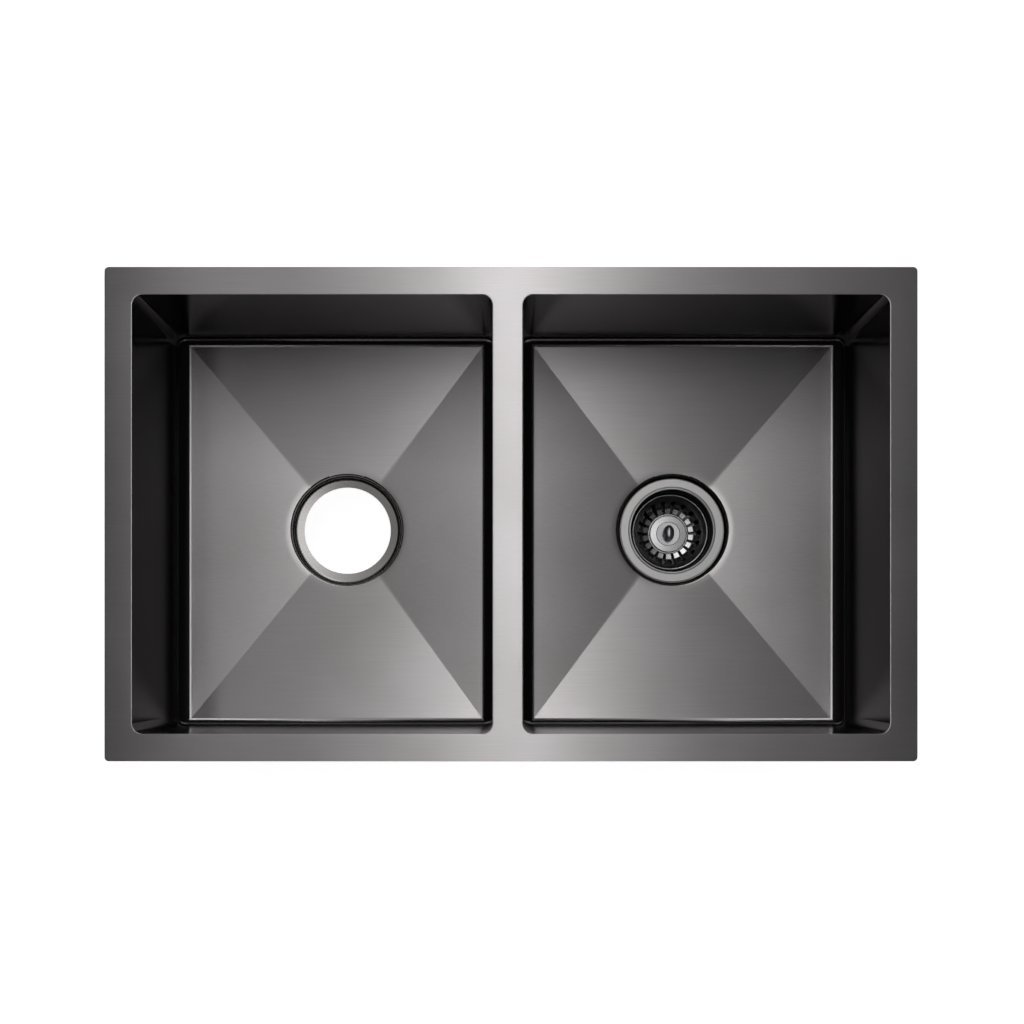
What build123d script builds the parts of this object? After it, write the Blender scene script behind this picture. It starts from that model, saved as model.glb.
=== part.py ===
"""Double bowl kitchen sink in brushed sheet steel, with a basket waste in the right-hand bowl.

Millimetres. +X runs to the right, +Y to the back, +Z up. The origin is on the top face of the
rim, in the middle of the strip that divides the two bowls. The drain hole of the left-hand bowl
is bare. The sink hangs from its rim under or in a worktop.
"""

from build123d import *
from math import cos, radians, tan
import os

# ------------------------------------------------------------------ sink: driving dimensions
left_bowl_length = 328.0
right_bowl_length = 334.0
bowl_width = 400.0
bowl_depth = 200.0
divider_width = 28.0
flange_width = 25.0
rim_thickness = 1.5
rim_corner_radius = 4.0
rim_edge_radius = 0.5
sheet_thickness = 1.2
bowl_corner_radius = 10.0
floor_fillet_radius = 9.0
floor_land = 1.0
crease_fall = 7.0

drain_hole_radius = 45.0
drain_shift_to_divider = 10.0
drain_shift_to_back = 3.0
recess_radius = 56.0
recess_drop = 14.0
recess_wall_height = 5.5
recess_shoulder_radius = 3.0
recess_shoulder_slope = 68.0
recess_foot_radius = 2.0

# --------------------------------------------------- sound-deadening pads bonded to the bowls
pad_thickness = 3.0
pad_margin = 32.0
pad_top_gap = 30.0
pad_floor_gap = 25.0
pad_corner_radius = 12.0
base_pad_clearance = 14.0

# ------------------------------------------------------------ basket waste: fixed metal parts
waste_flange_radius = 53.5
waste_flange_dish = 0.8
waste_lip_width = 4.0
cup_sheet = 1.2
cup_hole_clearance = 1.0
cup_neck_height = 20.0
cup_seat_height = 4.0
cup_lower_radius = 38.5
cup_taper = 3.0
cup_floor_fall = 2.0
cup_bend_radius = 5.0
cup_ridge_radius = 1.8
outlet_radius = 20.0
spigot_wall = 3.5
spigot_length = 26.0
thread_clearance = 0.15

grid_thickness = 1.5
grid_ring_width = 2.0
grid_spoke_width = 3.0
grid_hub_radius = 6.0
grid_spokes = 4
grid_depth = 6.0

# ------------------------------------------------------------ basket waste: seals and fixings
seal_thickness = 1.0
bedding_gap = 0.05
gasket_thickness = 3.0
gasket_width = 9.0
friction_ring_thickness = 1.0
lock_nut_height = 9.0
lock_nut_wall = 5.0
lock_nut_lug_reach = 4.0
lock_nut_lug_width = 9.0
lock_nut_lugs = 8

tail_radius = 19.0
tail_wall = 1.2
tail_length = 95.0
tail_flange_thickness = 2.0
tail_washer_thickness = 2.5
slip_nut_grip = 13.0
slip_nut_floor = 3.0
slip_nut_wall = 5.0
slip_nut_clearance = 0.75
slip_nut_edge_radius = 1.5

# --------------------------------------------------------------- basket waste: lift-out parts
moving_gap = 0.3
basket_sheet = 0.8
basket_bead_radius = 1.3
basket_bead_inset = 3.7
basket_depth = 23.0
basket_foot_radius = 29.0
basket_bend_radius = 3.0
basket_disc_radius = 20.0
basket_disc_rise = 2.4
slot_count = 18
slot_width = 3.5
slot_height = 13.0

stem_radius = 3.0
stem_running_gap = 0.05
bush_flange_radius = 6.5
bush_wall = 1.6
bush_flange_thickness = 1.0

knob_length = 17.0
knob_width = 11.5
knob_height = 11.0
knob_waist = 2.2
knob_edge_radius = 2.0
knob_foot_height = 3.0

stopper_radius = 24.0
stopper_thickness = 4.0
stopper_travel = 7.0
backing_radius = 15.0
backing_thickness = 1.2
stem_nut_radius = 6.0
stem_nut_height = 4.0
stem_tail = 5.0

# ---------------------------------------------------------------------------- derived places
bowl_span_y = bowl_width / 2
left_bowl_x = -(divider_width + left_bowl_length) / 2
right_bowl_x = (divider_width + right_bowl_length) / 2
left_drain_x = left_bowl_x + drain_shift_to_divider
right_drain_x = right_bowl_x - drain_shift_to_divider
ledge_z = -bowl_depth - recess_drop
ledge_underside_z = ledge_z - sheet_thickness

cup_outer_radius = drain_hole_radius - cup_hole_clearance
cup_inner_radius = cup_outer_radius - cup_sheet
cup_foot_radius = cup_lower_radius - cup_taper
flange_top_z = ledge_z + seal_thickness + waste_flange_dish + cup_sheet + bedding_gap
seat_top_z = flange_top_z - cup_neck_height
seat_bottom_z = seat_top_z - cup_seat_height
spigot_outer_radius = outlet_radius + spigot_wall

# The bead of the basket's rim rests on the sloping seat, one moving gap clear of it.
seat_run = cup_inner_radius - cup_lower_radius
seat_slope_length = (seat_run**2 + cup_seat_height**2) ** 0.5
bead_r = cup_inner_radius - basket_bead_inset
bead_standoff = basket_bead_radius + moving_gap
bead_contact_r = bead_r + bead_standoff * cup_seat_height / seat_slope_length
bead_contact_z = seat_top_z - (cup_inner_radius - bead_contact_r) * cup_seat_height / seat_run
bead_z = bead_contact_z + bead_standoff * seat_run / seat_slope_length
basket_bottom_z = bead_z - basket_depth
disc_top_z = basket_bottom_z + basket_sheet + basket_disc_rise

# The stopper hangs under the basket. It is modelled pushed down, one moving gap clear of the
# cup's floor, and the knob lifts it by its travel.
disc_underside_z = disc_top_z - basket_sheet
bush_foot_z = basket_bottom_z - bush_flange_thickness
backing_top_z = bush_foot_z - moving_gap - stopper_travel
stopper_top_z = backing_top_z - backing_thickness
stopper_foot_z = stopper_top_z - stopper_thickness
floor_slope = cup_floor_fall / (cup_foot_radius - outlet_radius)
seat_above_outlet = floor_slope * (stopper_radius - outlet_radius)
outlet_z = stopper_foot_z - moving_gap - seat_above_outlet
cup_floor_z = outlet_z + cup_floor_fall
spigot_foot_z = outlet_z - spigot_length

friction_ring_z = ledge_underside_z - gasket_thickness
lock_nut_top_z = friction_ring_z - friction_ring_thickness
tail_flange_z = spigot_foot_z - tail_washer_thickness
tail_foot_z = tail_flange_z - tail_length
tail_flange_radius = spigot_outer_radius - thread_clearance


# ------------------------------------------------------------------------------ construction
def turned(*outline):
    """Solid of revolution about Z of a closed outline of (radius, height) points."""
    face = make_face(Polyline(*outline, close=True))
    return revolve(Plane.XZ * face, Axis.Z)


def tube(outer_radius, inner_radius, top_z, height):
    """Ring or tube that hangs down from top_z."""
    outline = [
        (inner_radius, top_z),
        (outer_radius, top_z),
        (outer_radius, top_z - height),
        (inner_radius, top_z - height),
    ]
    return turned(*outline)


def pressed(points, radii, thickness):
    """Turned sheet whose upper face follows the (radius, height) points, bent by the radii."""
    upper_face = FilletPolyline(*points, radius=radii)
    section = offset(upper_face, amount=thickness, side=Side.LEFT)
    return revolve(Plane.XZ * make_face(section), Axis.Z)


def rounded_block(length, width, height, radius, top_z):
    """Upright block with rounded vertical edges that hangs down from top_z."""
    hang = (Align.CENTER, Align.CENTER, Align.MAX)
    block = Pos(0, 0, top_z) * Box(length, width, height, align=hang)
    return fillet(block.edges().filter_by(Axis.Z), radius)


def bowl_form(length, drain_x, grow):
    """Solid that fills one bowl from the rim down, enlarged by grow on every face.

    Walls, rounded floor edge, four floor facets that fall to the drain, and the drain's recess.
    """
    form = rounded_block(
        length + 2 * grow, bowl_width + 2 * grow, bowl_depth + grow, bowl_corner_radius + grow, 0
    )
    floor_radius = min(floor_fillet_radius, bowl_corner_radius - floor_land)
    form = fillet(form.faces().sort_by(Axis.Z)[0].edges(), floor_radius + grow)

    land = 2 * (floor_radius + floor_land)
    floor_z = -bowl_depth - grow
    facet_edge = Pos(0, 0, floor_z) * Rectangle(length - land, bowl_width - land)
    facet_tip = Vertex(drain_x, drain_shift_to_back, floor_z - crease_fall)
    form += loft([facet_edge.face(), facet_tip])

    return form + Pos(drain_x, drain_shift_to_back, 0) * recess_form(grow)


def recess_form(grow):
    """Turned solid that fills the drain's recess: steep shoulder, upright wall and flat ledge."""
    slope = radians(recess_shoulder_slope)
    wall_r = recess_radius + grow
    corner_z = ledge_z + recess_wall_height - grow * (1 / cos(slope) - tan(slope))
    mouth_z = -bowl_depth + floor_land
    mouth_r = wall_r + (mouth_z - corner_z) / tan(slope)
    ledge = (0, ledge_z - grow)
    mouth = (mouth_r, mouth_z)
    side = FilletPolyline(
        mouth,
        (wall_r, corner_z),
        (wall_r, ledge_z - grow),
        ledge,
        radius=[recess_shoulder_radius - grow, recess_foot_radius + grow],
    )
    middle = Polyline(ledge, (0, mouth_z), mouth)
    return revolve(Plane.XZ * make_face(side + middle), Axis.Z)


def bowl(length, drain_x):
    """Open-topped sheet bowl whose walls end under the rim plate."""
    shell = bowl_form(length, drain_x, sheet_thickness) - bowl_form(length, drain_x, 0)
    hole = Cylinder(drain_hole_radius, 4 * recess_drop)
    shell -= Pos(drain_x, drain_shift_to_back, ledge_z) * hole
    rim_space = Box(2 * length, 2 * bowl_width, 2 * rim_thickness)
    return shell - rim_space


def base_pad(length, drain_x):
    """Pad bonded under the floor facets, with a round opening for the drain."""
    underside = bowl_form(length, drain_x, sheet_thickness)
    pad = Pos(0, 0, -pad_thickness) * underside
    pad &= rounded_block(
        length - 2 * pad_margin,
        bowl_width - 2 * pad_margin,
        bowl_depth,
        pad_corner_radius,
        -bowl_depth - sheet_thickness,
    )
    opening = Cylinder(recess_radius + base_pad_clearance, bowl_depth)
    pad -= Pos(drain_x, drain_shift_to_back, -bowl_depth) * opening
    return pad - underside


def wall_pad(wall_length):
    """Upright rounded pad, bonded side at y = 0, that stands out towards +Y."""
    height = bowl_depth - pad_top_gap - pad_floor_gap
    outline = RectangleRounded(wall_length - 2 * pad_margin, height, pad_corner_radius)
    upright = Plane.XZ * outline
    pad = extrude(upright, -pad_thickness)
    return Pos(0, 0, -pad_top_gap - height / 2) * pad


def wall_pads(bowl_x, length, outward):
    """The four wall pads of a bowl; outward is the X direction away from the divider."""
    out_x = length / 2 + sheet_thickness
    out_y = bowl_span_y + sheet_thickness
    side = wall_pad(bowl_width)
    return {
        "back": Pos(bowl_x, out_y, 0) * wall_pad(length),
        "front": Pos(bowl_x, -out_y, 0) * Rot(0, 0, 180) * wall_pad(length),
        "outer": Pos(bowl_x + outward * out_x, 0, 0) * Rot(0, 0, -90 * outward) * side,
        "divider": Pos(bowl_x - outward * out_x, 0, 0) * Rot(0, 0, 90 * outward) * side,
    }


def rim_flange():
    """Flat rim plate with one opening for each bowl."""
    length = left_bowl_length + divider_width + right_bowl_length + 2 * flange_width
    middle_x = (right_bowl_length - left_bowl_length) / 2
    plate = Pos(middle_x, 0, 0) * rounded_block(
        length, bowl_width + 2 * flange_width, rim_thickness, rim_corner_radius, 0
    )
    openings = (
        (left_bowl_x, left_bowl_length),
        (right_bowl_x, right_bowl_length),
    )
    for bowl_x, bowl_length in openings:
        plate -= Pos(bowl_x, 0, 0) * rounded_block(
            bowl_length, bowl_width, 2 * rim_thickness, bowl_corner_radius, rim_thickness / 2
        )
    return fillet(plate.faces().sort_by(Axis.Z)[-1].edges(), rim_edge_radius)


def strainer_cup():
    """Flanged cup of the waste: ring, lip, threaded neck, basket seat, floor and spigot."""
    upper_face = [
        (waste_flange_radius, flange_top_z),
        (cup_inner_radius + waste_lip_width, flange_top_z - waste_flange_dish),
        (cup_inner_radius, flange_top_z),
        (cup_inner_radius, seat_top_z),
        (cup_lower_radius, seat_bottom_z),
        (cup_foot_radius, cup_floor_z),
        (outlet_radius, outlet_z),
        (outlet_radius, outlet_z - spigot_length / 2),
    ]
    soft_bend = cup_sheet
    bends = [
        soft_bend,
        cup_ridge_radius,
        soft_bend,
        cup_ridge_radius,
        cup_bend_radius,
        cup_ridge_radius,
    ]
    cup = pressed(upper_face, bends, cup_sheet)
    spigot_top_z = outlet_z - 2 * cup_sheet
    return cup + tube(spigot_outer_radius, outlet_radius, spigot_top_z, spigot_top_z - spigot_foot_z)


def outlet_grid():
    """Spoked ring across the outlet."""
    top_z = outlet_z - grid_depth
    grid = tube(outlet_radius, outlet_radius - grid_ring_width, top_z, grid_thickness)
    grid += tube(grid_hub_radius, stem_radius + moving_gap, top_z, grid_thickness)
    spoke_start = (stem_radius + moving_gap + grid_hub_radius) / 2
    spoke_end = outlet_radius - grid_ring_width / 2
    spoke = Box(spoke_end - spoke_start, grid_spoke_width, grid_thickness)
    spoke_middle = Pos((spoke_start + spoke_end) / 2, 0, top_z - grid_thickness / 2)
    for turn in PolarLocations(0, grid_spokes):
        grid += turn * spoke_middle * spoke
    return grid


def lock_nut():
    """Large ring nut with lugs, on the neck of the cup under the sink."""
    inner = cup_outer_radius + thread_clearance
    outer = inner + lock_nut_wall
    nut = tube(outer, inner, lock_nut_top_z, lock_nut_height)
    lug_start = inner + lock_nut_wall / 2
    lug_length = outer + lock_nut_lug_reach - lug_start
    lug = Box(lug_length, lock_nut_lug_width, lock_nut_height)
    lug_middle = Pos(lug_start + lug_length / 2, 0, lock_nut_top_z - lock_nut_height / 2)
    for turn in PolarLocations(0, lock_nut_lugs):
        nut += turn * lug_middle * lug
    return nut


def tailpiece():
    """Flanged tube that carries the water down from the spigot."""
    inner = tail_radius - tail_wall
    flange = tube(tail_flange_radius, inner, tail_flange_z, tail_flange_thickness)
    return flange + tube(tail_radius, inner, tail_flange_z, tail_length)


def slip_nut():
    """Six-sided nut that draws the tailpiece's flange up to the spigot."""
    top_z = spigot_foot_z + slip_nut_grip
    seat_z = tail_flange_z - tail_flange_thickness
    inner = spigot_outer_radius + thread_clearance
    flats_radius = inner + slip_nut_wall
    height = top_z - seat_z + slip_nut_floor
    blank = extrude(RegularPolygon(flats_radius, 6, major_radius=False), height)
    blank = chamfer(blank.faces().filter_by(Axis.Z).edges(), slip_nut_edge_radius)
    blank = Pos(0, 0, seat_z - slip_nut_floor) * blank
    blank -= tube(inner, 0, top_z, top_z - seat_z)
    return blank - tube(tail_radius + slip_nut_clearance, 0, top_z, height)


def basket():
    """Lift-out strainer: beaded rim, tapering wall, raised middle disc and radial slots."""
    wall_r = bead_r - basket_bead_radius / 2
    disc_foot_z = basket_bottom_z + basket_sheet
    upper_face = [
        (wall_r, bead_z),
        (basket_foot_radius, disc_foot_z),
        (basket_disc_radius, disc_foot_z),
        (basket_disc_radius - basket_disc_rise / 2, disc_top_z - basket_disc_rise / 2),
        (bush_flange_radius + basket_sheet, disc_top_z),
        (stem_radius + stem_running_gap + bush_wall, disc_top_z),
    ]
    bends = [basket_bend_radius, basket_sheet, basket_sheet, basket_sheet]
    shell = pressed(upper_face, bends, basket_sheet)
    bead = Torus(bead_r, basket_bead_radius)
    shell += Pos(0, 0, bead_z) * bead
    slot_reach = basket_foot_radius + slot_height
    slot = Pos(basket_disc_radius + basket_bend_radius / 2, 0, basket_bottom_z) * Box(
        slot_reach, slot_width, 2 * slot_height, align=(Align.MIN, Align.CENTER, Align.CENTER)
    )
    for turn in PolarLocations(0, slot_count):
        shell -= turn * slot
    return shell


def stem_bush():
    """Bush in the middle of the basket that guides the stem."""
    bore = stem_radius + stem_running_gap
    sleeve = tube(bore + bush_wall, bore, disc_top_z, disc_top_z - bush_foot_z)
    shoulder_z = disc_underside_z
    shoulder = tube(bush_flange_radius, bore, shoulder_z, shoulder_z - bush_foot_z)
    return sleeve + shoulder


def knob():
    """Oval pull knob with a waist, on a round foot."""
    foot_z = disc_top_z + moving_gap
    grip = extrude(Ellipse(knob_width / 2, knob_length / 2), knob_height)
    grip = fillet(grip.faces().sort_by(Axis.Z)[-1].edges(), knob_edge_radius)
    grip = Pos(0, 0, foot_z + knob_foot_height) * grip
    foot = tube(knob_width / 2 - knob_waist, 0, foot_z + knob_foot_height, knob_foot_height)
    socket = tube(stem_radius, 0, foot_z + knob_height / 2, knob_height)
    return grip + foot - socket


def stem():
    """Round stem from the knob down through the basket and the stopper."""
    top_z = disc_top_z + moving_gap + knob_height / 2
    foot_z = stopper_foot_z - stem_nut_height - stem_tail
    return tube(stem_radius, 0, top_z, top_z - foot_z)


def right_drain(solid):
    """Moves a piece modelled on the drain's axis to the right-hand bowl."""
    return Pos(right_drain_x, drain_shift_to_back, 0) * solid


# ------------------------------------------------------------------------------------- pieces
pieces = {
    "rim_flange": rim_flange(),
    "left_bowl": Pos(left_bowl_x, 0, 0) * bowl(left_bowl_length, drain_shift_to_divider),
    "right_bowl": Pos(right_bowl_x, 0, 0) * bowl(right_bowl_length, -drain_shift_to_divider),
    "left_base_pad": Pos(left_bowl_x, 0, 0) * base_pad(left_bowl_length, drain_shift_to_divider),
    "right_base_pad": Pos(right_bowl_x, 0, 0) * base_pad(right_bowl_length, -drain_shift_to_divider),
}
for wall, pad in wall_pads(left_bowl_x, left_bowl_length, -1).items():
    pieces[f"left_{wall}_pad"] = pad
for wall, pad in wall_pads(right_bowl_x, right_bowl_length, 1).items():
    pieces[f"right_{wall}_pad"] = pad

gasket_outer = cup_outer_radius + cup_hole_clearance + gasket_width
stopper_hole = stem_radius
waste_pieces = {
    "flange_seal": tube(waste_flange_radius, cup_outer_radius, ledge_z + seal_thickness, seal_thickness),
    "strainer_cup": strainer_cup(),
    "outlet_grid": outlet_grid(),
    "under_gasket": tube(gasket_outer, cup_outer_radius, ledge_underside_z, gasket_thickness),
    "friction_ring": tube(gasket_outer, cup_outer_radius, friction_ring_z, friction_ring_thickness),
    "lock_nut": lock_nut(),
    "tail_washer": tube(tail_flange_radius, tail_radius - tail_wall, spigot_foot_z, tail_washer_thickness),
    "tailpiece": tailpiece(),
    "slip_nut": slip_nut(),
    "basket": basket(),
    "stem_bush": stem_bush(),
    "knob": knob(),
    "stem": stem(),
    "backing_washer": tube(backing_radius, stopper_hole, backing_top_z, backing_thickness),
    "stopper": tube(stopper_radius, stopper_hole, stopper_top_z, stopper_thickness),
    "stem_nut": tube(stem_nut_radius, stopper_hole, stopper_foot_z, stem_nut_height),
}
for name, solid in waste_pieces.items():
    pieces[name] = right_drain(solid)

os.makedirs("parts", exist_ok=True)
for name, solid in pieces.items():
    export_step(solid, f"parts/{name}.step")
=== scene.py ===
"""Looks of the double bowl kitchen sink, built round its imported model.

Metres, in the model's frame: the origin is on the rim's top face in the middle of the divider,
+X runs to the right, +Y to the back and +Z up. Sizes are written in millimetres times MM.
"""

from math import atan2, cos, hypot, pi, radians, sin, tan

import bmesh
import bpy
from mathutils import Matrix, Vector


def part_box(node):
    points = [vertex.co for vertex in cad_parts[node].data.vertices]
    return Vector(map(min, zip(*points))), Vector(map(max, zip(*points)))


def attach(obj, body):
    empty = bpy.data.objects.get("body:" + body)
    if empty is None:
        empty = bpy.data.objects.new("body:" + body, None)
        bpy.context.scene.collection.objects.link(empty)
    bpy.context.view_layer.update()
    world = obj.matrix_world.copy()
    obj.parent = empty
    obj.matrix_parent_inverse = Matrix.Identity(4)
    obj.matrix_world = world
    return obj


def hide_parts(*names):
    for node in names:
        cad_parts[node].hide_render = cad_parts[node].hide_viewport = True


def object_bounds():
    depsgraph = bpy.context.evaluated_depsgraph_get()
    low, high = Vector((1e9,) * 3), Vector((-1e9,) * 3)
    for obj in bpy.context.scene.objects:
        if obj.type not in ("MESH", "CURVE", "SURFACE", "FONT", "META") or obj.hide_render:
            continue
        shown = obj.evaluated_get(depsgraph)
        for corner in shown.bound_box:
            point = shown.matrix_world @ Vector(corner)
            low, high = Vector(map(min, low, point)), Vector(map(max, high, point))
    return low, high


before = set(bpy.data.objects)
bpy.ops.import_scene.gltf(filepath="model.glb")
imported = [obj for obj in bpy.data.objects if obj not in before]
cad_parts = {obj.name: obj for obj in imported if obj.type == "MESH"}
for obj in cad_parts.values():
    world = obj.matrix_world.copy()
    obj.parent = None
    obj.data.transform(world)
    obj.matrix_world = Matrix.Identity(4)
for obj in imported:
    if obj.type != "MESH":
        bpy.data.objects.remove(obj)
cad_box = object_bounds()

MM = 0.001
TINY = 0.01 * MM

# ------------------------------------------------------------------------- places and sizes
SHEET = 1.2 * MM
BOWL_FLOOR = -200 * MM
BOWL_CORNER = 10 * MM
# The walls turn into the floor over a narrow slope: how wide and high it is, and how far its
# roundings reach at the wall and at the floor. At the front and back it is END_SHARE as wide.
SLOPE_WIDTH = 12 * MM
END_SHARE = 0.5
SLOPE_RISE = 5.9 * MM
WALL_BEND = 0.8 * MM
FLOOR_BEND = 1.4 * MM
# How far the floor's four facets fall to the drain.
CREASE_FALL = 7 * MM
RIM_CORNER = 4 * MM
RIM_EDGE = 0.3 * MM
# The openings' edges are eased: how wide the easing is, and how far it falls.
EASING_WIDTH = 1.0 * MM
EASING_FALL = 0.15 * MM

# The drain's recess: a steep shoulder, an upright wall, and a ledge round the hole.
HOLE_R = 45 * MM
LEDGE = -214 * MM
RECESS_R = 56 * MM
RECESS_WALL = 5.5 * MM
SHOULDER_BEND = 3 * MM
SHOULDER_SLOPE = radians(68)
# The shoulder's upper edge lies within RECESS_SPREAD of the wall, and is rounded.
RECESS_SPREAD = 2.1 * MM
RECESS_EDGE = 1.0 * MM
# The press drew the floor down round the recess: (ring width, how far its inner edge drops).
DRAWN_RINGS = [(1.8 * MM, 0.22 * MM), (2.5 * MM, 0.12 * MM), (3.5 * MM, 0.04 * MM)]
# The ledge as (radius, height, rounding) from the wall inward: the open one is dished.
OPEN_LEDGE = [(RECESS_R, 1.4 * MM, 2.6 * MM), (52.8 * MM, 0.62 * MM, 10 * MM)]
COVERED_LEDGE = [(RECESS_R, 0, 2 * MM)]

RIM_LOW, RIM_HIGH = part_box("rim_flange")
CUP_LOW, CUP_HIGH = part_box("strainer_cup")
DRAIN_Y = (CUP_LOW.y + CUP_HIGH.y) / 2
RIGHT_DRAIN = ((CUP_LOW.x + CUP_HIGH.x) / 2, DRAIN_Y)
# The bare drain is this far from its bowl's middle, towards the divider.
DRAIN_SHIFT = 10 * MM


def bare_drain(node):
    """Centre of the drain of a bowl that lies left of the divider."""
    low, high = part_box(node)
    return ((low.x + high.x) / 2 + DRAIN_SHIFT, DRAIN_Y)


LEFT_DRAIN = bare_drain("left_bowl")


# ---------------------------------------------------------------------------- modelling tools
def deselect():
    """Leaves edit mode and takes every object out of the selection."""
    if bpy.context.object and bpy.context.object.mode != "OBJECT":
        bpy.ops.object.mode_set(mode="OBJECT")
    bpy.ops.object.select_all(action="DESELECT")


def activate(*pieces):
    """Selects these objects alone, and makes the first one active."""
    deselect()
    for piece in pieces:
        piece.select_set(True)
    bpy.context.view_layer.objects.active = pieces[0]


def named(name):
    """Names the primitive that was just added, and opens it in edit mode, selected all over."""
    piece = bpy.context.object
    piece.name = piece.data.name = name
    bpy.ops.object.mode_set(mode="EDIT")
    bpy.ops.mesh.select_mode(type="VERT")
    bpy.ops.mesh.select_all(action="SELECT")
    return piece


def pick(kind, rule):
    """Selects the faces, edges or vertices for which the rule holds; returns how many."""
    mesh = bpy.context.object.data
    bpy.ops.mesh.select_mode(type=kind)
    bpy.ops.mesh.select_all(action="DESELECT")
    shape = bmesh.from_edit_mesh(mesh)
    items = {"VERT": shape.verts, "EDGE": shape.edges, "FACE": shape.faces}[kind]
    count = 0
    for item in items:
        if rule(item):
            item.select_set(True)
            count += 1
    bmesh.update_edit_mesh(mesh)
    return count


def near(a, b):
    """True for two lengths that are the same, apart from rounding."""
    return abs(a - b) < TINY


def upright(edge):
    """True for an edge that runs along Z."""
    a, b = (v.co for v in edge.verts)
    return near(a.x, b.x) and near(a.y, b.y) and not near(a.z, b.z)


def level_with_wall(edge, z):
    """True for an edge at height z where a level face meets an upright one."""
    if not all(near(v.co.z, z) for v in edge.verts):
        return False
    slopes = sorted(abs(face.normal.z) for face in edge.link_faces)
    return len(slopes) == 2 and slopes[0] < 0.1 and slopes[1] > 0.9


def bevel(size, segments):
    """Rounds the selected edges."""
    bpy.ops.mesh.bevel(
        offset=size, offset_type="OFFSET", segments=segments, affect="EDGES", clamp_overlap=False
    )


def outward():
    """Joins vertices that lie together, and turns all faces outward."""
    bpy.ops.mesh.select_all(action="SELECT")
    bpy.ops.mesh.remove_doubles(threshold=TINY)
    bpy.ops.mesh.normals_make_consistent(inside=False)


def smooth(piece, angle=30):
    """Smooth shading that keeps corners sharper than the angle, with flat faces kept flat."""
    activate(piece)
    bpy.ops.object.shade_smooth_by_angle(angle=radians(angle), keep_sharp_edges=True)
    modifier = piece.modifiers.new("flat faces", "WEIGHTED_NORMAL")
    modifier.keep_sharp = True
    bpy.ops.object.modifier_apply(modifier=modifier.name)


def finish_sheet(piece, thickness, offset):
    """Gives an open skin its sheet thickness: outward for an offset of 1, inward for -1."""
    activate(piece)
    modifier = piece.modifiers.new("sheet", "SOLIDIFY")
    modifier.thickness = thickness
    modifier.offset = offset
    modifier.use_even_offset = True
    bpy.ops.object.modifier_apply(modifier=modifier.name)


def bend(corners, steps=8):
    """Polyline of (radius, height, rounding) corners; its two ends have no rounding."""
    line = [corners[0]]
    for before, (*at, rounding), after in zip(corners, corners[1:], corners[2:]):
        corner = Vector(at)
        back = (Vector(before[:2]) - corner).normalized()
        ahead = (Vector(after[:2]) - corner).normalized()
        half = back.angle(ahead) / 2
        reach = rounding / tan(half)
        middle = corner + (back + ahead).normalized() * (rounding / sin(half))
        start, end = corner + back * reach - middle, corner + ahead * reach - middle
        turn = start.angle_signed(end)
        for step in range(steps + 1):
            angle = -turn * step / steps
            x = start.x * cos(angle) - start.y * sin(angle)
            y = start.x * sin(angle) + start.y * cos(angle)
            line.append((middle.x + x, middle.y + y))
    line.append(corners[-1])
    return line


def thick(line, thickness):
    """Closed section of a sheet whose one face is the line, with the metal on the line's left."""
    other = []
    for i, point in enumerate(line):
        before = Vector(point) - Vector(line[max(i - 1, 0)])
        after = Vector(line[min(i + 1, len(line) - 1)]) - Vector(point)
        before = before if before.length > 0 else after
        after = after if after.length > 0 else before
        along = (before.normalized() + after.normalized()).normalized()
        mitre = max(along.dot(after.normalized()), 0.3)
        normal = Vector((-along.y, along.x)) * thickness / mitre
        other.append(tuple(Vector(point) + normal))
    return line + other[::-1]


def turned(name, profile, centre, closed=True, steps=144):
    """Spins (radius, height) points about the upright axis through the centre."""
    deselect()
    bpy.ops.mesh.primitive_plane_add(size=MM)
    piece = named(name)
    bpy.ops.mesh.merge(type="CENTER")
    radius, height = profile[0]
    bpy.ops.transform.translate(value=(centre[0] + radius, centre[1], height))
    path = profile + profile[:1] if closed else profile
    for (r_from, z_from), (r_to, z_to) in zip(path, path[1:]):
        step = {"value": (r_to - r_from, 0, z_to - z_from)}
        bpy.ops.mesh.extrude_region_move(TRANSFORM_OT_translate=step)
    bpy.ops.mesh.select_all(action="SELECT")
    bpy.ops.mesh.spin(steps=steps, angle=2 * pi, center=(*centre, 0), axis=(0, 0, 1))
    outward()
    bpy.ops.object.mode_set(mode="OBJECT")
    return piece


def paint(piece, material):
    """Makes the material the piece's only finish."""
    piece.data.materials.clear()
    piece.data.materials.append(material)


def paint_node(name, material):
    """Gives a kept CAD node its finish."""
    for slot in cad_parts[name].material_slots:
        slot.material = material


# ----------------------------------------------------------------------------------- finishes
def srgb(code):
    """Linear colour, with alpha, of an sRGB hex code."""
    parts = [int(code[i : i + 2], 16) / 255 for i in (1, 3, 5)]
    linear = [v / 12.92 if v <= 0.04045 else ((v + 0.055) / 1.055) ** 2.4 for v in parts]
    return (*linear, 1.0)


def add(tree, kind, settings=None, **inputs):
    """Adds a node. Inputs go by name or, as _0, by number, and are values or outputs to link."""
    node = tree.nodes.new(kind)
    for key, value in (settings or {}).items():
        setattr(node, key, value)
    for key, value in inputs.items():
        socket = node.inputs[int(key[1:]) if key[0] == "_" else key.replace("_", " ")]
        if isinstance(value, bpy.types.NodeSocket):
            tree.links.new(value, socket)
        else:
            socket.default_value = value
    return node


def surface(name, colour, metallic, roughness):
    """A new material: returns it with its tree and its Principled shader."""
    material = bpy.data.materials.new(name)
    material.use_nodes = True
    tree = material.node_tree
    shader = tree.nodes["Principled BSDF"]
    shader.inputs["Base Color"].default_value = srgb(colour)
    shader.inputs["Metallic"].default_value = metallic
    shader.inputs["Roughness"].default_value = roughness
    return material, tree, shader


# Between just under the rim's face and just above the floor the sheet isn't brushed.
ROLLED_TOP = -0.6 * MM
ROLLED_FOOT = BOWL_FLOOR + 0.6 * MM
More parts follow.
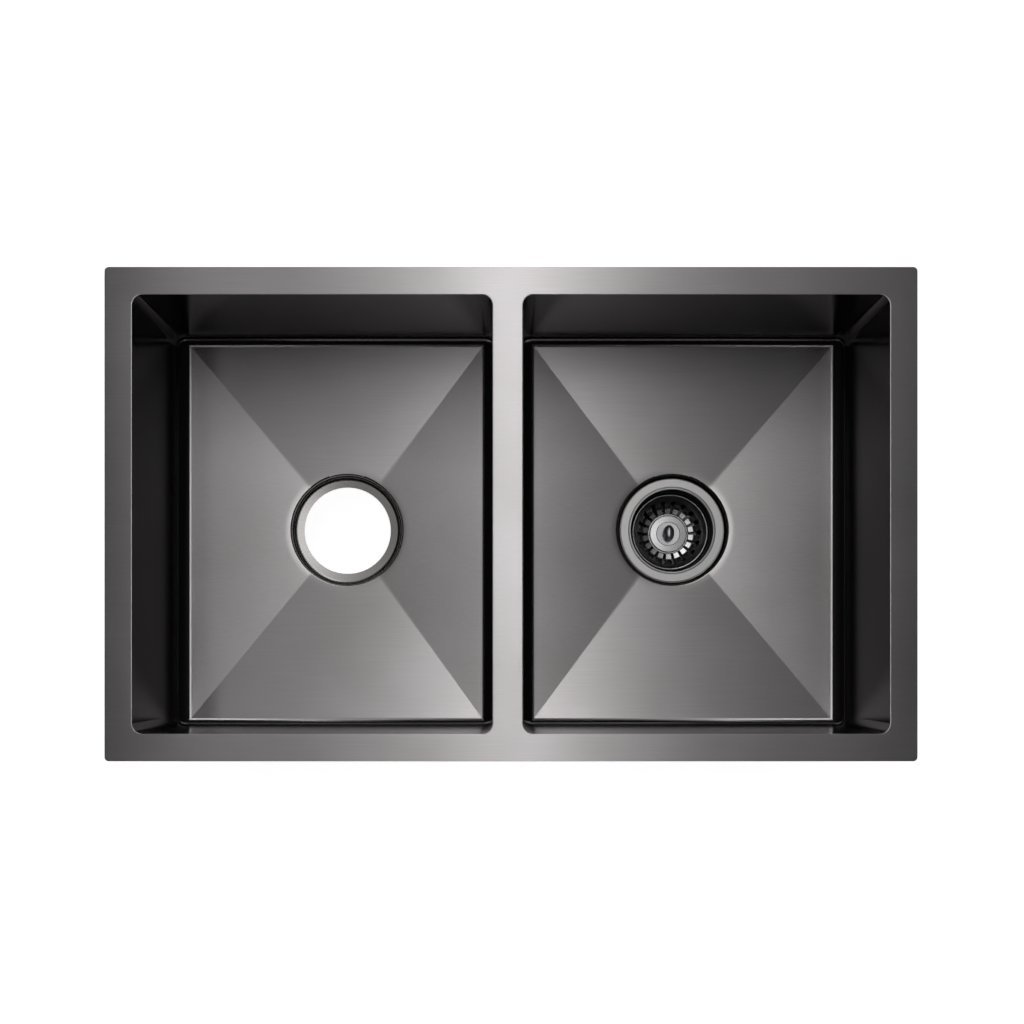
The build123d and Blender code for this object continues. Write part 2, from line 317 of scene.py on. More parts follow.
# Painted shade at the foot of the walls: the colour darkens from the first height down to the
# second, to this share of its tone.
DARK_START = -170 * MM
DARK_FULL = -192 * MM
DARK_SHARE = 0.35


def brushed_sheet():
    """Gunmetal-coated stainless sheet, belt-brushed along X: fine level streaks, satin gloss."""
    material, tree, shader = surface("brushed_gunmetal_sheet", "#A19FA1", 1.0, 0.33)
    # The dark coating keeps the walls from brightening where they are seen edge-on.
    shader.inputs["Specular Tint"].default_value = (0.5, 0.5, 0.5, 1)
    place = add(tree, "ShaderNodeTexCoord").outputs["Object"]
    height = add(tree, "ShaderNodeSeparateXYZ", Vector=place).outputs["Z"]
    # The walls keep the sheet's rolled finish: glossier, and without streaks.
    rolled = add(
        tree,
        "ShaderNodeMath",
        {"operation": "COMPARE"},
        _0=height,
        _1=(ROLLED_TOP + ROLLED_FOOT) / 2,
        _2=(ROLLED_TOP - ROLLED_FOOT) / 2,
    ).outputs[0]
    brushed = add(tree, "ShaderNodeMapRange", _0=rolled, _3=1.0, _4=0.0)
    tree.links.new(brushed.outputs[0], shader.inputs["Anisotropic"])
    grit = add(tree, "ShaderNodeCombineXYZ", X=0.0, Y=1.0, Z=0.02)
    tree.links.new(grit.outputs[0], shader.inputs["Tangent"])
    # The real grit lines are 0.05 mm apart; they are drawn 0.4 mm apart, and about 56 mm long, so
    # that they show. The clouds of tone are about 110 mm across.
    stretch = add(tree, "ShaderNodeMapping", Vector=place, Scale=(18, 2500, 2500)).outputs[0]
    streaks = add(tree, "ShaderNodeTexNoise", Vector=stretch, Scale=1.0, Detail=2.0).outputs["Fac"]
    clouds = add(tree, "ShaderNodeTexNoise", Vector=place, Scale=9.0, Detail=2.0).outputs["Fac"]
    rough = add(tree, "ShaderNodeMapRange", _0=streaks, _3=0.30, _4=0.38)
    gloss = add(tree, "ShaderNodeMix", Factor=rolled, _2=rough.outputs[0], _3=0.17)
    tree.links.new(gloss.outputs[0], shader.inputs["Roughness"])
    # The clouds and the streaks together make the sheet a little lighter and darker.
    tone = add(tree, "ShaderNodeMix", Factor=0.45, _2=clouds, _3=streaks)
    contrast = add(tree, "ShaderNodeMapRange", _0=tone.outputs[0], _1=0.3, _2=0.7)
    shade = add(
        tree,
        "ShaderNodeMix",
        {"data_type": "RGBA"},
        Factor=contrast.outputs[0],
        _6=srgb("#989594"),
        _7=srgb("#A9A6A8"),
    )
    # Painted shade: the colour is darkened in the bend at the foot of the walls, standing in for
    # the dark that the bend reflects.
    depth = add(
        tree,
        "ShaderNodeMapRange",
        _0=height,
        _1=DARK_FULL,
        _2=DARK_START,
        _3=DARK_SHARE,
        _4=1.0,
    )
    coat = add(tree, "ShaderNodeMix", Factor=rolled, _2=1.0, _3=depth.outputs[0])
    coated = add(
        tree,
        "ShaderNodeVectorMath",
        {"operation": "SCALE"},
        _0=shade.outputs[2],
        Scale=coat.outputs[0],
    )
    tree.links.new(coated.outputs[0], shader.inputs["Base Color"])
    relief = add(tree, "ShaderNodeMapRange", _0=rolled, _3=0.06, _4=0.0).outputs[0]
    bump = add(tree, "ShaderNodeBump", Strength=relief, Distance=0.1 * MM, Height=streaks)
    tree.links.new(bump.outputs["Normal"], shader.inputs["Normal"])
    return material


def turned_steel(name, colour, low, high, centre):
    """Pressed stainless, polished while it spins: fine rings round the drain's axis."""
    material, tree, shader = surface(name, colour, 1.0, (low + high) / 2)
    place = add(tree, "ShaderNodeTexCoord").outputs["Object"]
    shift = (-centre[0], -centre[1], 0)
    middle = add(tree, "ShaderNodeMapping", Vector=place, Location=shift).outputs[0]
    flat = add(tree, "ShaderNodeVectorMath", {"operation": "MULTIPLY"}, _0=middle, _1=(1, 1, 0))
    radius = add(tree, "ShaderNodeVectorMath", {"operation": "LENGTH"}, _0=flat.outputs[0])
    axes = add(tree, "ShaderNodeSeparateXYZ", Vector=middle)
    across = add(tree, "ShaderNodeCombineXYZ", X=radius.outputs["Value"], Z=axes.outputs["Z"])
    # The real rings are finer; they are drawn 0.5 mm apart so that they show.
    rings = add(
        tree, "ShaderNodeTexNoise", Vector=across.outputs[0], Scale=2000.0, Detail=1.0
    ).outputs["Fac"]
    rough = add(tree, "ShaderNodeMapRange", _0=rings, _3=low, _4=high)
    tree.links.new(rough.outputs[0], shader.inputs["Roughness"])
    bump = add(tree, "ShaderNodeBump", Strength=0.05, Distance=0.1 * MM, Height=rings)
    tree.links.new(bump.outputs["Normal"], shader.inputs["Normal"])
    return material


def grained(name, colour, metallic, low, high, grain, depth, strength):
    """A material whose fine grain changes its gloss, and raises it; grain and depth in mm."""
    material, tree, shader = surface(name, colour, metallic, (low + high) / 2)
    place = add(tree, "ShaderNodeTexCoord").outputs["Object"]
    speckle = add(
        tree, "ShaderNodeTexNoise", Vector=place, Scale=1000.0 / grain, Detail=3.0
    ).outputs["Fac"]
    rough = add(tree, "ShaderNodeMapRange", _0=speckle, _3=low, _4=high)
    tree.links.new(rough.outputs[0], shader.inputs["Roughness"])
    bump = add(tree, "ShaderNodeBump", Strength=strength, Distance=depth * MM, Height=speckle)
    tree.links.new(bump.outputs["Normal"], shader.inputs["Normal"])
    return material


# Turned steels: name, colour, roughness from and to, axis. Grained materials: name, colour,
# metallic, roughness from and to, grain in mm, its depth in mm, and how strongly it shows.
sheet_steel = brushed_sheet()
# The waste's flange and outlet: spun stainless, softly ringed.
cup_steel = turned_steel("spun_stainless", "#8D8C8C", 0.27, 0.31, RIGHT_DRAIN)
# The drains' recesses are burnished by the press: darker and glossier than the brushed floor.
recess_steel = grained("burnished_gunmetal", "#6F6D6C", 1.0, 0.18, 0.22, 1.5, 0.01, 0.05)
# Inside the cup's neck the colour is a darker grey, as painted shade for the shadowed interior of
# the neck.
neck_steel = turned_steel("pickled_stainless", "#4E4D4D", 0.2, 0.24, RIGHT_DRAIN)
# The basket: pressed stainless, glossier than the flange round it.
basket_steel = turned_steel("pressed_stainless", "#8F8E8F", 0.19, 0.23, RIGHT_DRAIN)
# The knob: tumbled cast stainless, the palest and softest metal here.
knob_steel = grained("tumbled_stainless", "#C2C2C5", 1.0, 0.36, 0.42, 1.5, 0.02, 0.05)
# Stem, nut and washer: polished stainless.
polished_steel = grained("polished_stainless", "#D8D8D8", 1.0, 0.08, 0.14, 2.0, 0.02, 0.05)
# Butyl sound pad: matt black with a faint moulded grain.
butyl_pad = grained("butyl_sound_pad", "#1E1E1F", 0.0, 0.68, 0.85, 1.2, 0.15, 0.35)
# Moulded rubber: deep black, a little softer in gloss than plastic.
rubber = grained("moulded_rubber", "#131313", 0.0, 0.45, 0.6, 0.8, 0.05, 0.15)
# Nylon: off-white, with a waxy gloss.
nylon = grained("moulded_nylon", "#E6E4DC", 0.0, 0.38, 0.5, 0.8, 0.03, 0.1)
# Pressed fibre: brown card with visible flecks.
fibre = grained("pressed_fibre", "#A88763", 0.0, 0.7, 0.9, 0.6, 0.08, 0.4)
# Die-cast zinc, nickel-plated: softly mottled metal.
plated_zinc = grained("plated_zinc", "#B4B3B0", 1.0, 0.26, 0.4, 1.5, 0.04, 0.12)
# Chromium-plated drawn brass tube: mirror gloss.
chrome_tube = grained("chromed_tube", "#D6D8DA", 1.0, 0.05, 0.09, 4.0, 0.01, 0.03)


# --------------------------------------------------------------------------------- rim plate
def bowl_inside(node):
    """The (low x, high x, low y, high y) of a bowl's inner walls."""
    low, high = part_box(node)
    return (low.x + SHEET, high.x - SHEET, low.y + SHEET, high.y - SHEET)


def make_rim():
    """Flat plate with two openings, its upright corners and top edges rounded."""
    insides = [bowl_inside("left_bowl"), bowl_inside("right_bowl")]
    middle = (RIM_LOW + RIM_HIGH) / 2
    deselect()
    bpy.ops.mesh.primitive_plane_add(size=1)
    plate = named("rim_plate")
    bpy.ops.transform.resize(value=(RIM_HIGH.x - RIM_LOW.x, RIM_HIGH.y - RIM_LOW.y, 1))
    bpy.ops.transform.translate(value=(middle.x, middle.y, 0))
    for x in sorted(edge for inside in insides for edge in inside[:2]):
        bpy.ops.mesh.select_all(action="SELECT")
        bpy.ops.mesh.bisect(plane_co=(x, 0, 0), plane_no=(1, 0, 0))
    for y in insides[0][2:]:
        bpy.ops.mesh.select_all(action="SELECT")
        bpy.ops.mesh.bisect(plane_co=(0, y, 0), plane_no=(0, 1, 0))

    def in_opening(face):
        at = face.calc_center_median()
        return any(a < at.x < b and c < at.y < d for a, b, c, d in insides)

    pick("FACE", in_opening)
    bpy.ops.mesh.delete(type="FACE")
    bpy.ops.mesh.select_all(action="SELECT")
    drop = {"value": (0, 0, RIM_LOW.z)}
    bpy.ops.mesh.extrude_region_move(TRANSFORM_OT_translate=drop)
    outward()

    def at_corner(edge, corners):
        at = edge.verts[0].co
        return upright(edge) and any(near(at.x, x) and near(at.y, y) for x, y in corners)

    def at_opening_edge(vert):
        x, y, z = vert.co
        walls = any(abs(face.normal.z) < 0.1 for face in vert.link_faces)
        inside = RIM_LOW.x + MM < x < RIM_HIGH.x - MM and abs(y) < insides[0][3] + MM
        return near(z, 0) and walls and inside

    outer = [(x, y) for x in (RIM_LOW.x, RIM_HIGH.x) for y in (RIM_LOW.y, RIM_HIGH.y)]
    inner = [(x, y) for a, b, c, d in insides for x in (a, b) for y in (c, d)]
    pick("EDGE", lambda edge: at_corner(edge, outer))
    bevel(RIM_CORNER, 8)
    pick("EDGE", lambda edge: at_corner(edge, inner))
    bevel(BOWL_CORNER, 12)
    pick("FACE", lambda face: face.normal.z > 0.99)
    bpy.ops.mesh.inset(thickness=EASING_WIDTH)
    pick("VERT", at_opening_edge)
    bpy.ops.transform.translate(value=(0, 0, -EASING_FALL))
    pick("EDGE", lambda edge: level_with_wall(edge, 0) or level_with_wall(edge, -EASING_FALL))
    bevel(RIM_EDGE, 3)
    outward()
    smooth(plate)
    paint(plate, sheet_steel)
    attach(plate, "sink")
    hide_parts("rim_flange")


# ------------------------------------------------------------------------------------- bowls
def recess_tool(centre, ledge):
    """Closed turned form of a drain's recess, with a plug where the hole will be."""
    mouth_z = BOWL_FLOOR + MM
    wall_top = LEDGE + RECESS_WALL
    mouth_r = RECESS_R + (mouth_z - wall_top) / tan(SHOULDER_SLOPE)
    side = bend(
        [
            (mouth_r, mouth_z),
            (RECESS_R, wall_top, SHOULDER_BEND),
            *((radius, LEDGE + height, rounding) for radius, height, rounding in ledge),
            (HOLE_R, LEDGE),
        ]
    )
    plug_z = LEDGE - 4 * MM
    plug = [(HOLE_R, plug_z), (0, plug_z), (0, mouth_z)]
    return turned("recess_tool", side + plug, centre, steps=160)


def make_basin(name, node, drain, ledge):
    """Rounded box with four floor facets that fall to the drain, its recess and its hole."""
    x_low, x_high, y_low, y_high = bowl_inside(node)
    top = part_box(node)[1].z
    foot = BOWL_FLOOR + SLOPE_RISE
    middle = ((x_low + x_high) / 2, (y_low + y_high) / 2, (top + foot) / 2)
    deselect()
    bpy.ops.mesh.primitive_cube_add(size=1)
    form = named(name)
    bpy.ops.transform.resize(value=(x_high - x_low, y_high - y_low, top - foot))
    bpy.ops.transform.translate(value=middle)
    pick("EDGE", upright)
    bevel(BOWL_CORNER, 12)

    # The slope along the walls, then the facets: the floor is poked and its middle drawn down.
    def is_floor(face):
        return face.normal.z < -0.99 and face.calc_area() > 100 * 100 * MM * MM

    half = (y_high - y_low) / 2
    for width in (BOWL_CORNER - TINY, SLOPE_WIDTH - BOWL_CORNER):
        pick("FACE", is_floor)
        bpy.ops.mesh.inset(thickness=width)
        bpy.ops.transform.translate(value=(0, 0, -SLOPE_RISE * width / SLOPE_WIDTH))
        stretch = (half - width * END_SHARE) / (half - width)
        bpy.ops.transform.resize(value=(1, stretch, 1), center_override=middle)
        half -= width * END_SHARE
        bpy.ops.mesh.remove_doubles(threshold=MM)
    pick("FACE", is_floor)
    bpy.ops.mesh.poke()

    def is_tip(vert):
        from_middle = hypot(vert.co.x - middle[0], vert.co.y - middle[1])
        return from_middle < 30 * MM and near(vert.co.z, BOWL_FLOOR)

    pick("VERT", is_tip)
    bpy.ops.transform.translate(value=(drain[0] - middle[0], drain[1] - middle[1], -CREASE_FALL))
    pick("EDGE", lambda edge: all(near(v.co.z, BOWL_FLOOR) for v in edge.verts))
    bevel(FLOOR_BEND, 6)
    pick("EDGE", lambda edge: all(near(v.co.z, foot) for v in edge.verts))
    bevel(WALL_BEND, 12)
    bpy.ops.object.mode_set(mode="OBJECT")

    tool = recess_tool(drain, ledge)
    activate(form)
    union = form.modifiers.new("recess", "BOOLEAN")
    union.operation = "UNION"
    union.solver = "EXACT"
    union.object = tool
    bpy.ops.object.modifier_apply(modifier=union.name)
    bpy.data.objects.remove(tool)

    bpy.ops.object.mode_set(mode="EDIT")
    bpy.ops.mesh.select_all(action="SELECT")
    bpy.ops.mesh.remove_doubles(threshold=TINY)

    def is_open(face):
        z = face.calc_center_median().z
        return z < LEDGE - TINY or (face.normal.z > 0.99 and near(z, top))

    pick("FACE", is_open)
    bpy.ops.mesh.delete(type="FACE")

    # Rings of floor round the recess, drawn down a little towards its edge. The recess's upper
    # edge isn't quite round, so each ring's circle is found as a band below its limit.
    def reach(point):
        return hypot(point.x - drain[0], point.y - drain[1])

    def on_circle(vert):
        above_wall = vert.co.z > LEDGE + RECESS_WALL + MM
        return limit - 1.2 * MM < reach(vert.co) < limit and above_wall

    edge_limit = limit = RECESS_R + RECESS_SPREAD
    pick("VERT", on_circle)
    bpy.ops.mesh.remove_doubles(threshold=0.7 * MM)
    for width, _ in DRAWN_RINGS:
        pick("FACE", lambda face: all(reach(v.co) < limit for v in face.verts))
        bpy.ops.mesh.inset(thickness=width, use_outset=True)
        limit += width
    limit = edge_limit
    for width, drop in DRAWN_RINGS:
        pick("VERT", on_circle)
        bpy.ops.transform.translate(value=(0, 0, -drop))
        limit += width
    limit = edge_limit
    pick("EDGE", lambda edge: all(on_circle(v) for v in edge.verts))
    bevel(RECESS_EDGE, 4)

    # Creases: edges where two large, nearly level facets meet at a slight angle.
    def is_crease(edge):
        if len(edge.link_faces) != 2:
            return False
        one, two = (face.normal for face in edge.link_faces)
        level = min(abs(one.z), abs(two.z)) > 0.985
        large = min(face.calc_area() for face in edge.link_faces) > 30 * MM * MM
        return level and large and one.angle(two, 0) > radians(0.7)

    pick("EDGE", is_crease)
    bpy.ops.mesh.mark_sharp()
    bpy.ops.object.mode_set(mode="OBJECT")
    finish_sheet(form, SHEET, 1.0)
    smooth(form)
    paint(form, sheet_steel)
    form.data.materials.append(recess_steel)
    for face in form.data.polygons:
        low = face.center.z < BOWL_FLOOR - CREASE_FALL / 2
        if low and reach(face.center) < edge_limit + 0.7 * MM:
            face.material_index = 1
    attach(form, "sink")
    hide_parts(node)


# ------------------------------------------------------------------------------- basket waste
# The small rounding of the cup's and the basket's pressed edges.
PRESSED = 0.3 * MM
FLANGE_TOP = CUP_HIGH.z
CUP_SHEET = 1.2 * MM
CUP_IN = 42.8 * MM
FLANGE_R = 53.5 * MM
FLANGE_FALL = 0.1 * MM
# The lip at the cup's mouth, and the shallow groove round it: radii, half width and depth.
LIP_R = 43.4 * MM
LIP_GROOVE_R = 45.0 * MM
LIP_GROOVE_HALF = 0.6 * MM
LIP_GROOVE = 0.5 * MM
# The neck's height, the sloping seat that the basket rests on, the foot of the cup's side, and
# the outlet in its floor with the thicker spigot below it.
NECK = 20 * MM
SEAT = 4 * MM
SEAT_R = 38.5 * MM
CUP_FOOT = 35.5 * MM
OUTLET_R = 20 * MM
SPIGOT_R = 23.5 * MM
SPIGOT = 26 * MM
CUP_FALL = 2 * MM
OUTLET = CUP_LOW.z + SPIGOT


def make_cup():
    """Flange, raised lip, neck, basket seat, floor and spigot of the waste."""
    seat_top = FLANGE_TOP - NECK
    crest = FLANGE_TOP - FLANGE_FALL
    face = bend(
        [
            (FLANGE_R, FLANGE_TOP - CUP_SHEET / 2),
            (FLANGE_R, FLANGE_TOP, 0.5 * MM),
            (LIP_GROOVE_R + LIP_GROOVE_HALF, crest, PRESSED),
            (LIP_GROOVE_R, FLANGE_TOP - LIP_GROOVE, PRESSED),
            (LIP_GROOVE_R - LIP_GROOVE_HALF, crest, PRESSED),
            (LIP_R, crest, PRESSED),
            (CUP_IN, FLANGE_TOP - LIP_GROOVE, 0.4 * MM),
            (CUP_IN, seat_top, 1.2 * MM),
            (SEAT_R, seat_top - SEAT, 1.8 * MM),
            (CUP_FOOT, OUTLET + CUP_FALL, 5 * MM),
            (OUTLET_R, OUTLET, 1.8 * MM),
            (OUTLET_R, CUP_LOW.z),
        ]
    )
    foot = [
        (SPIGOT_R, OUTLET - 2.4 * MM),
        (SPIGOT_R, CUP_LOW.z + 0.8 * MM),
        (SPIGOT_R - 0.8 * MM, CUP_LOW.z),
        (OUTLET_R, CUP_LOW.z),
    ]
    # The cup's sheet ends in the outlet's edge; the thicker spigot goes on below it.
    cup = turned("waste_cup", thick(face[:-2], CUP_SHEET), RIGHT_DRAIN)
    spigot = turned("spigot", [(OUTLET_R, OUTLET - 1.9 * MM), *foot], RIGHT_DRAIN, steps=96)
    activate(cup, spigot)
    bpy.ops.object.join()
    smooth(cup)
    paint(cup, cup_steel)
    # The faces inside the neck take the darker finish, which is painted shade.
    cup.data.materials.append(neck_steel)
    for face in cup.data.polygons:
        reach = hypot(face.center.x - RIGHT_DRAIN[0], face.center.y - RIGHT_DRAIN[1])
        if reach < CUP_IN + TINY and face.center.z < FLANGE_TOP - LIP_GROOVE:
            face.material_index = 1
    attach(cup, "sink")
    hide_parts("strainer_cup")


BASKET_LOW, BASKET_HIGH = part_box("basket")
BEAD = 1.3 * MM
BEAD_R = (BASKET_HIGH.x - BASKET_LOW.x) / 2 - BEAD
BASKET_SHEET = 0.8 * MM
# The bars between the slots come down to BASKET_FOOT and run in, falling, to BAR_FOOT.
BASKET_FOOT = 28 * MM
BAR_FOOT = 21.9 * MM
BAR_RISE = 0.9 * MM
BAR_FALL = 0.7 * MM
# A groove parts them from the raised disc, whose boss has a hole for the stem's bush.
GROOVE = 0.9 * MM
DISC_R = 20 * MM
DISC_RISE = 2.4 * MM
BOSS_R = 12.2 * MM
BOSS_RISE = 0.25 * MM
BUSH_HOLE_R = 4.65 * MM
SLOTS = 18
SLOT_TOP = 13 * MM
SLOT_START = 21.7 * MM
# A slot and the bar beside it are COLUMNS columns of faces wide, and the slot reaches this many
# to each side of its middle. All are turned by half a column.
COLUMNS = 8
SLOT_REACH = 1.2
SLOT_TURN = pi / (SLOTS * COLUMNS)


def make_basket():
    """Tapering cup with a rolled rim, a raised middle disc and slots round its foot."""
    bead_z = BASKET_HIGH.z - BEAD
    floor = BASKET_LOW.z + BASKET_SHEET
    disc = floor + DISC_RISE
    wall_top = (BEAD_R - BEAD / 2, bead_z)
    foot = (BASKET_FOOT, floor + BAR_RISE + BAR_FALL)
    share = (SLOT_TOP - foot[1] + floor) / (bead_z - foot[1])
    slot_end = (foot[0] + (wall_top[0] - foot[0]) * share, floor + SLOT_TOP)
    line = bend(
        [
            wall_top,
            (*foot, 2.4 * MM),
            (BAR_FOOT, floor + BAR_RISE, PRESSED),
            (DISC_R + GROOVE, floor, PRESSED),
            (DISC_R, floor, PRESSED),
            (DISC_R - 0.6 * MM, disc - BOSS_RISE, 0.25 * MM),
            (DISC_R - 1.2 * MM, disc - BOSS_RISE - 0.25 * MM, PRESSED),
            (BOSS_R + 0.6 * MM, disc - BOSS_RISE - 0.12 * MM, PRESSED),
            (BOSS_R, disc, PRESSED),
            (7.3 * MM, disc - 0.05 * MM, PRESSED),
            (BUSH_HOLE_R, disc - 0.05 * MM),
        ],
        steps=5,
    )
    line[1:1] = [slot_end]
    skin = turned("strainer_basket", line, RIGHT_DRAIN, closed=False, steps=SLOTS * COLUMNS)
    bpy.ops.object.mode_set(mode="EDIT")
    turn = 2 * pi / SLOTS

    def in_slot(face):
        at = face.calc_center_median() - Vector((*RIGHT_DRAIN, 0))
        angle = (atan2(at.y, at.x) + turn / 2 - SLOT_TURN) % turn - turn / 2
        between = hypot(at.x, at.y) > SLOT_START and at.z < floor + SLOT_TOP
        return between and abs(angle) < SLOT_REACH * turn / COLUMNS

    pick("FACE", in_slot)
    bpy.ops.mesh.delete(type="FACE")
    bpy.ops.mesh.select_all(action="SELECT")
    bpy.ops.mesh.normals_make_consistent(inside=False)
    # The disc has to face up, so that the sheet's thickness goes under it.
    upside_down = pick("FACE", lambda face: face.normal.z < -0.99)
    bpy.ops.mesh.select_all(action="SELECT")
    if upside_down:
        bpy.ops.mesh.flip_normals()
    bpy.ops.object.mode_set(mode="OBJECT")
    finish_sheet(skin, BASKET_SHEET, -1.0)
    deselect()
    bpy.ops.mesh.primitive_torus_add(
        major_radius=BEAD_R,
        minor_radius=BEAD,
        major_segments=144,
        minor_segments=16,
        location=(*RIGHT_DRAIN, bead_z),
    )
    bead = bpy.context.object
    bpy.ops.object.transform_apply(location=True, rotation=True, scale=True)
    activate(skin, bead)
    bpy.ops.object.join()
    smooth(skin)
    paint(skin, basket_steel)
    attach(skin, "basket")
    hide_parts("basket")


# The knob's dome: its height, its rings, and how much of the side's inset its ends take.
KNOB_DOME = 5.6 * MM
KNOB_STEPS = 12
KNOB_END = 0.85


def make_knob():
    """Oval pull knob on a round foot: rings of (half width, half length, height)."""
    low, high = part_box("knob")
    middle = (low + high) / 2
    half_w, half_l = (high.x - low.x) / 2, (high.y - low.y) / 2
    neck = half_w - 2.2 * MM
    rise = high.z - low.z
    rings = [
        (neck, neck, 0),
        (neck, neck, 2.6 * MM),
        (neck + 0.4 * MM, neck + 1.2 * MM, 3.1 * MM),
        (half_w - 0.5 * MM, half_l - 0.6 * MM, 3.8 * MM),
        (half_w, half_l, 4.8 * MM),
    ]
    for step in range(KNOB_STEPS + 1):
        turn = pi / 2 * step / (KNOB_STEPS + 0.6)
        inset = half_w * (1 - cos(turn))
        height = rise - KNOB_DOME * (1 - sin(turn))
        rings.append((half_w - inset, half_l - inset * KNOB_END, height))
    rings.append((rings[-1][0] / 3, rings[-1][1] * 0.8, rise))
    deselect()
    bpy.ops.mesh.primitive_circle_add(vertices=64, radius=1, fill_type="NGON")
    knob = named("pull_knob")
    centre = (middle.x, middle.y, low.z)
    bpy.ops.transform.resize(value=(rings[0][0], rings[0][1], 1))
    bpy.ops.transform.translate(value=centre)
    for (w, l, z), (w_next, l_next, z_next) in zip(rings, rings[1:]):
        move = {"value": (0, 0, z_next - z)}
        bpy.ops.mesh.extrude_region_move(TRANSFORM_OT_translate=move)
        bpy.ops.transform.resize(value=(w_next / w, l_next / l, 1), center_override=centre)
    outward()
    smooth(knob, 35)
    paint(knob, knob_steel)
    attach(knob, "plunger")
    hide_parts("knob")


make_rim()
make_basin("left_basin", "left_bowl", LEFT_DRAIN, OPEN_LEDGE)
make_basin("right_basin", "right_bowl", RIGHT_DRAIN, COVERED_LEDGE)
make_cup()
make_basket()
make_knob()

# The kept CAD nodes' finishes.
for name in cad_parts:
    if name.endswith("_pad"):
        paint_node(name, butyl_pad)
for name in ("flange_seal", "under_gasket", "stopper"):
    paint_node(name, rubber)
for name in ("tail_washer", "stem_bush"):
    paint_node(name, nylon)
for name in ("lock_nut", "slip_nut"):
    paint_node(name, plated_zinc)
for name in ("stem", "stem_nut", "backing_washer"):
    paint_node(name, polished_steel)
paint_node("outlet_grid", cup_steel)
paint_node("friction_ring", fibre)
paint_node("tailpiece", chrome_tube)


# -------------------------------------------------------------------------- stage and lights
def pale(name, brightness):
    """Pale paint that shows as white behind the object and in its reflections."""
    material = bpy.data.materials.new(name)
    material.use_nodes = True
    tree = material.node_tree
    tree.nodes.clear()
    ray = add(tree, "ShaderNodeLightPath").outputs
    either = {"operation": "MAXIMUM"}
    seen = add(tree, "ShaderNodeMath", either, _0=ray["Is Camera Ray"], _1=ray["Is Glossy Ray"])
    through = ray["Is Transmission Ray"]
    shown = add(tree, "ShaderNodeMath", either, _0=seen.outputs[0], _1=through).outputs[0]
    glow = add(tree, "ShaderNodeMath", {"operation": "MULTIPLY"}, _0=shown, _1=brightness)
    diffuse = add(tree, "ShaderNodeBsdfDiffuse", Color=srgb("#F4F4F4"))
    emission = add(tree, "ShaderNodeEmission", Color=(1, 1, 1, 1), Strength=glow.outputs[0])
    both = add(tree, "ShaderNodeAddShader", _0=diffuse.outputs[0], _1=emission.outputs[0])
    add(tree, "ShaderNodeOutputMaterial", Surface=both.outputs[0])
    return material


# The floor's radius, and its edge's way up as (metres out, metres up).
STAGE_R = 4.0
STAGE_EDGE = [(0.6, 0.1), (0.4, 0.35), (0.15, 0.55), (0.0, 2.0)]


def make_stage():
    """Round floor under the tailpiece whose edge curves up into a backdrop."""
    floor_z = cad_box[0].z - 0.5 * MM
    deselect()
    bpy.ops.mesh.primitive_circle_add(
        vertices=96, radius=STAGE_R, fill_type="NGON", location=(0, 0, floor_z)
    )
    floor = named("studio_floor")
    pick("EDGE", lambda edge: True)
    radius = STAGE_R
    for out, up in STAGE_EDGE:
        bpy.ops.mesh.extrude_edges_move(TRANSFORM_OT_translate={"value": (0, 0, up)})
        grow = (radius + out) / radius
        bpy.ops.transform.resize(value=(grow, grow, 1), center_override=(0, 0, 0))
        radius += out
    bpy.ops.object.mode_set(mode="OBJECT")
    paint(floor, pale("matt_white_backdrop", 0.9))


make_stage()

# The light overhead: its width, its length, its middle's place and its strength.
CEILING_W, CEILING_L, CEILING_Y, CEILING_Z = 4.2, 4.6, 2.0, 6.0
CEILING_GAIN = 8.5
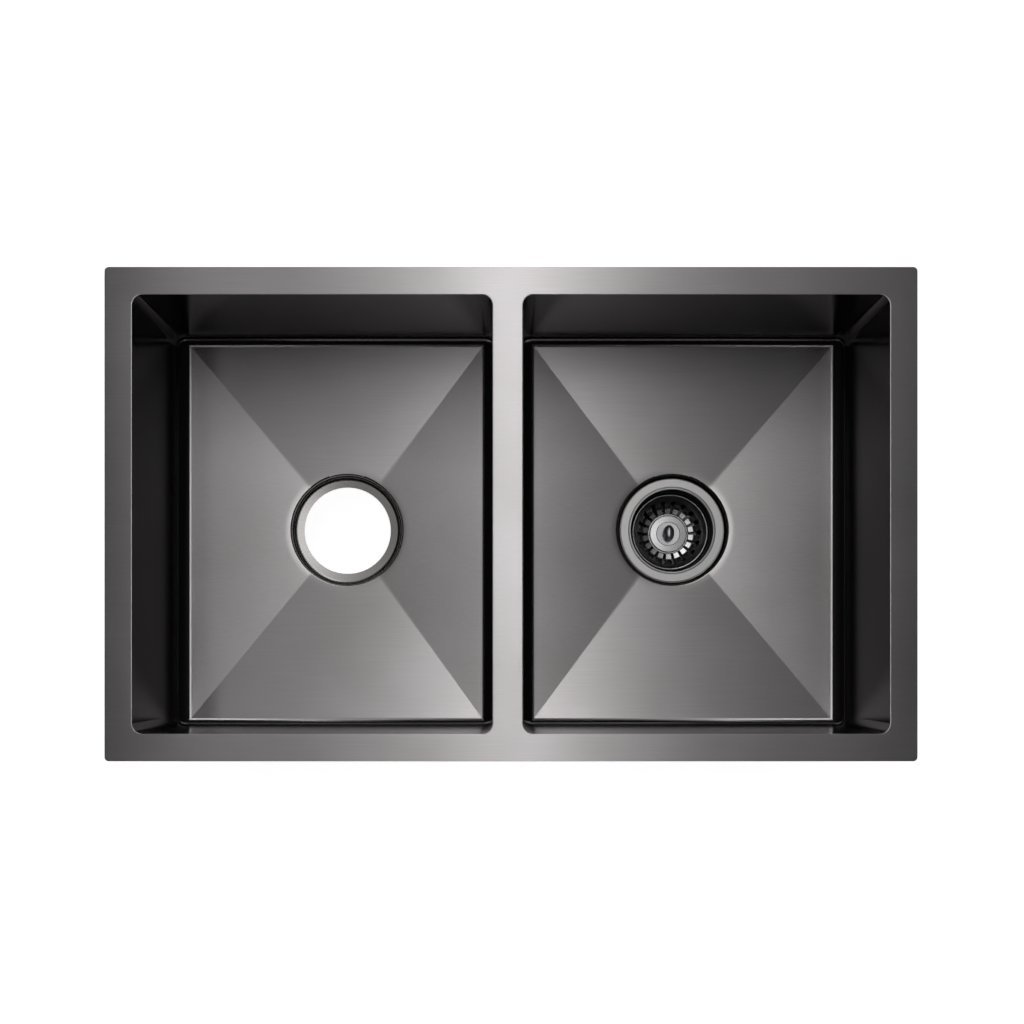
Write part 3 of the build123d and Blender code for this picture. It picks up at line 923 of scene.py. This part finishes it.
# Its brightness across X, as (metres from the middle, share of the brightest).
CEILING_FADE = [
    (-2.05, 0.005),
    (-1.85, 0.033),
    (-1.64, 0.138),
    (-1.43, 0.159),
    (-1.02, 0.116),
    (-0.74, 0.191),
    (-0.41, 0.262),
    (-0.18, 0.465),
    (0.00, 1.000),
    (0.18, 0.508),
    (0.41, 0.279),
    (0.70, 0.150),
    (0.94, 0.092),
    (1.43, 0.070),
    (1.85, 0.048),
    (2.05, 0.014),
]


def make_ceiling_light():
    """Wide soft light overhead: brightest over the divider, fading to its ends."""
    deselect()
    bpy.ops.mesh.primitive_plane_add(size=1)
    panel = named("ceiling_light")
    bpy.ops.transform.resize(value=(CEILING_W, CEILING_L, 1))
    bpy.ops.transform.translate(value=(0, CEILING_Y, CEILING_Z))
    bpy.ops.object.mode_set(mode="OBJECT")
    material = bpy.data.materials.new("ceiling_diffuser")
    material.use_nodes = True
    tree = material.node_tree
    tree.nodes.clear()
    place = add(tree, "ShaderNodeTexCoord").outputs["Object"]
    axes = add(tree, "ShaderNodeSeparateXYZ", Vector=place)
    across = add(
        tree, "ShaderNodeMapRange", _0=axes.outputs["X"], _1=-CEILING_W / 2, _2=CEILING_W / 2
    )
    fade = add(tree, "ShaderNodeValToRGB", Fac=across.outputs["Result"])
    stops = fade.color_ramp.elements
    while len(stops) < len(CEILING_FADE):
        stops.new(0.5)
    for stop, (at, level) in zip(stops, CEILING_FADE):
        stop.position = 0.5 + at / CEILING_W
        stop.color = (level, level, level, 1)
    glow = add(tree, "ShaderNodeEmission", Color=fade.outputs["Color"], Strength=CEILING_GAIN)
    add(tree, "ShaderNodeOutputMaterial", Surface=glow.outputs[0])
    paint(panel, material)


make_ceiling_light()

# The rest of the room is nearly black, for the dark bands in the bowls.
world = bpy.data.worlds.new("studio_room")
bpy.context.scene.world = world
world.use_nodes = True
world.node_tree.nodes["Background"].inputs["Color"].default_value = (0.008, 0.008, 0.008, 1)

# The camera looks straight down from in front of the middle, shifted so that the sink is centred.
camera = bpy.data.objects.new("photo_camera", bpy.data.cameras.new("photo_camera"))
bpy.context.collection.objects.link(camera)
camera.location = (3.9 * MM, -136 * MM, 1.426)
camera.data.sensor_width = 36
camera.data.lens = 55.1
camera.data.shift_y = 0.148
bpy.context.scene.camera = camera
bpy.context.scene.view_settings.view_transform = "Standard"
